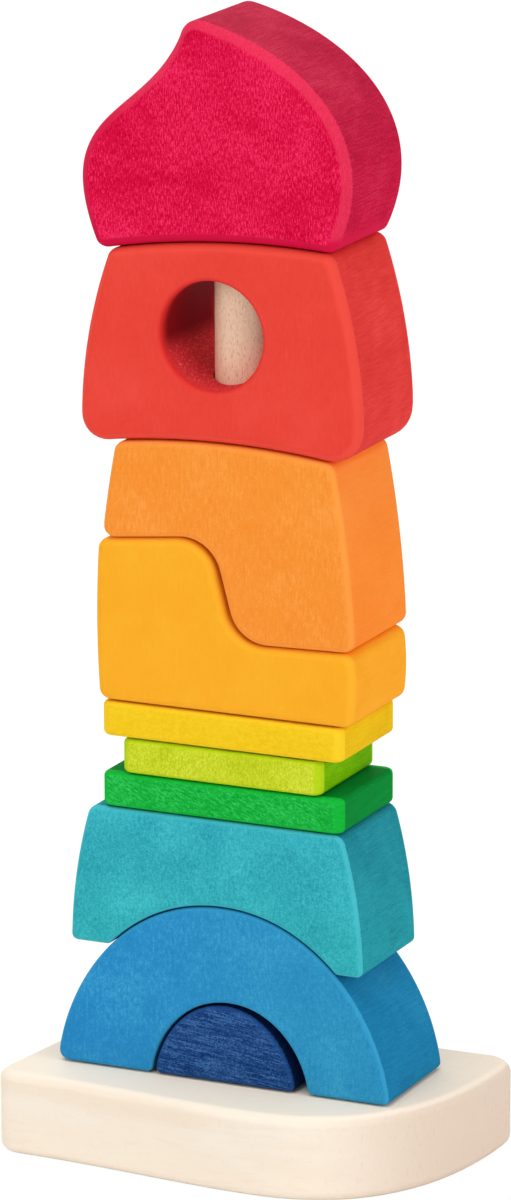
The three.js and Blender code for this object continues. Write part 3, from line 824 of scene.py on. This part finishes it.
dome_foot = window_top + STACK_GAP * MM
dome_hollow = seat(DOME_SEAT_CREST, 0, DOME_LEFT_FOOT, DOME_RIGHT_FOOT)
dome_outline = [
    *dome_hollow[:-1],
    *sweep(dome_hollow[-1], DOME_RIGHT_BELLY, DOME_SHOULDER, DOME_TIP, DOME_STEPS),
    *sweep(DOME_TIP, DOME_NECK, DOME_LEFT_BELLY, dome_hollow[0], DOME_STEPS),
]
dome_tip = (DOME_TIP, DOME_TIP_CORNER)
onion_dome = block("onion_dome_wood", dome_foot, dome_outline, BLOCK_CORNER, [dome_tip])
soften(DOME_RIM * MM, profile=0.4)
bore_end = dome_foot + (DOWEL_IN_DOME + BORE_END_PLAY) * MM
drill(onion_dome, BORE_RADIUS, dome_foot - 2 * DRILL_PAST, bore_end)
sand(onion_dome)
surface, place, wood = stained(
    onion_dome,
    "crimson_stain",
    front=((194, 0, 46), (222, 16, 70), (246, 50, 100)),
    side=((164, 16, 50), (185, 35, 65), (204, 56, 82)),
    edge=(226, 55, 87),
    rim=DOME_RIM,
    strands=(0.27, 2, 1.4),
    fibres=0.85,
    mottle=0.5,
    fuzz=0.6,
    # Painted shade: the drift makes the sawn edge duller and darker towards the top than at the foot.
    drift=(2, (222, 14, 68), (210, 2, 64)),
)
# Painted shade: the rims at the left and along the foot are blended towards a deeper crimson.
left_rim_shade = 1 - place.part(0).rise(SHADED_LEFT, UNSHADED_LEFT)
foot_rim_shade = 1 - place.part(2).rise(dome_foot + SHADED_FOOT, dome_foot + UNSHADED_FOOT)
on_rim = 1 - abs(place.part(1)).rise((BLOCK_DEPTH / 2 - FACE_FADE) * MM, BLOCK_DEPTH / 2 * MM)
rim_shade = on_rim * place.maths("MAXIMUM", left_rim_shade * LEFT_RIM_SHADE_SHARE, foot_rim_shade)
rim_shade.blend(wood, RIM_SHADE_CRIMSON).into(surface.inputs["Base Color"])
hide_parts("onion_dome")
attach(onion_dome, "dome")


# Studio: a pale floor that runs out of the picture, under soft square lamps on three sides and above.
# The camera stands where the photograph was taken, a little to the right of the blocks' fronts and above
# them.
WHITE, PAPER = (1.0, 1.0, 1.0, 1.0), (0.92, 0.92, 0.92, 1.0)
PAPER_ROUGHNESS, PAPER_GLOSS = 0.9, 0.1
WORLD_LIGHT = 0.53
FLOOR_SIZE, FLOOR_GLOW, FLOOR_SHARE = 24, 1.09, 0.85
CASTLE_MIDDLE = Vector((0, 0, 0.13))
CAMERA_DISTANCE = 1.60997
CAMERA_TURN, CAMERA_PITCH, CAMERA_ROLL = (math.radians(turn) for turn in (24.831, 14.7, -0.159))
CAMERA_AIM = Vector((0, 0, 0.13362))
CAMERA_SENSOR, CAMERA_LENS, CAMERA_SHIFT = 36, 208.58, 0.0061


def seen(shader):
    """1 for what the camera, a gloss or a glass sees directly, and 0 for light on its way."""
    lens = shader.node("LightPath", output="Is Camera Ray")
    gloss = shader.node("LightPath", output="Is Glossy Ray")
    glass = shader.node("LightPath", output="Is Transmission Ray")
    return shader.maths("MINIMUM", lens + gloss + glass, 1.0)


def lamp(name, place, size, watts):
    """A square soft lamp that faces the middle of the castle."""
    bpy.ops.object.light_add(type="AREA", location=place)
    light = bpy.context.object
    light.name = name
    light.data.size = size
    light.data.energy = watts
    light.rotation_euler = (CASTLE_MIDDLE - Vector(place)).to_track_quat("-Z", "Y").to_euler()


bpy.ops.object.select_all(action="DESELECT")
bpy.ops.mesh.primitive_plane_add(size=FLOOR_SIZE)
floor = bpy.context.object
floor.name = "studio_floor"
paper = bpy.data.materials.new("white_paper")
paper.use_nodes = True
floor.data.materials.append(paper)
sheet = paper.node_tree.nodes["Principled BSDF"]
sheet.inputs["Base Color"].default_value = PAPER
sheet.inputs["Roughness"].default_value = PAPER_ROUGHNESS
sheet.inputs["Specular IOR Level"].default_value = PAPER_GLOSS
matt = Tone(sheet.outputs["BSDF"])
glow = matt.node("Emission", None, {"Color": WHITE, "Strength": FLOOR_GLOW})
mixed = matt.node("MixShader", None, {0: seen(matt) * FLOOR_SHARE, 1: matt, 2: glow})
mixed.into(paper.node_tree.nodes["Material Output"].inputs["Surface"])

world = bpy.data.worlds.new("studio")
bpy.context.scene.world = world
world.use_nodes = True
sky = world.node_tree.nodes["Background"]
sky.inputs["Color"].default_value = WHITE
direct = seen(Tone(sky.outputs["Background"]))
(WORLD_LIGHT + direct * (1 - WORLD_LIGHT)).into(sky.inputs["Strength"])

lamp("front_lamp", place=(-0.35, -1.95, 1.0), size=1.1, watts=7.2)
lamp("right_lamp", place=(2.15, -0.5, 0.9), size=1.2, watts=14.2)
lamp("top_lamp", place=(-0.2, -0.4, 2.0), size=1.4, watts=15.6)
lamp("back_lamp", place=(-1.1, 2.0, 1.3), size=1.2, watts=7)

backwards = Vector((math.sin(CAMERA_TURN), -math.cos(CAMERA_TURN), math.tan(CAMERA_PITCH))).normalized()
bpy.ops.object.camera_add(location=CAMERA_AIM + CAMERA_DISTANCE * backwards)
camera = bpy.context.object
level = Euler((math.pi / 2 - CAMERA_PITCH, 0, CAMERA_TURN)).to_matrix()
camera.rotation_euler = (level @ Matrix.Rotation(CAMERA_ROLL, 3, "Z")).to_euler()
camera.data.sensor_width = CAMERA_SENSOR
camera.data.lens = CAMERA_LENS
camera.data.shift_x = CAMERA_SHIFT
bpy.context.scene.camera = camera
bpy.context.scene.view_settings.view_transform = "Standard"
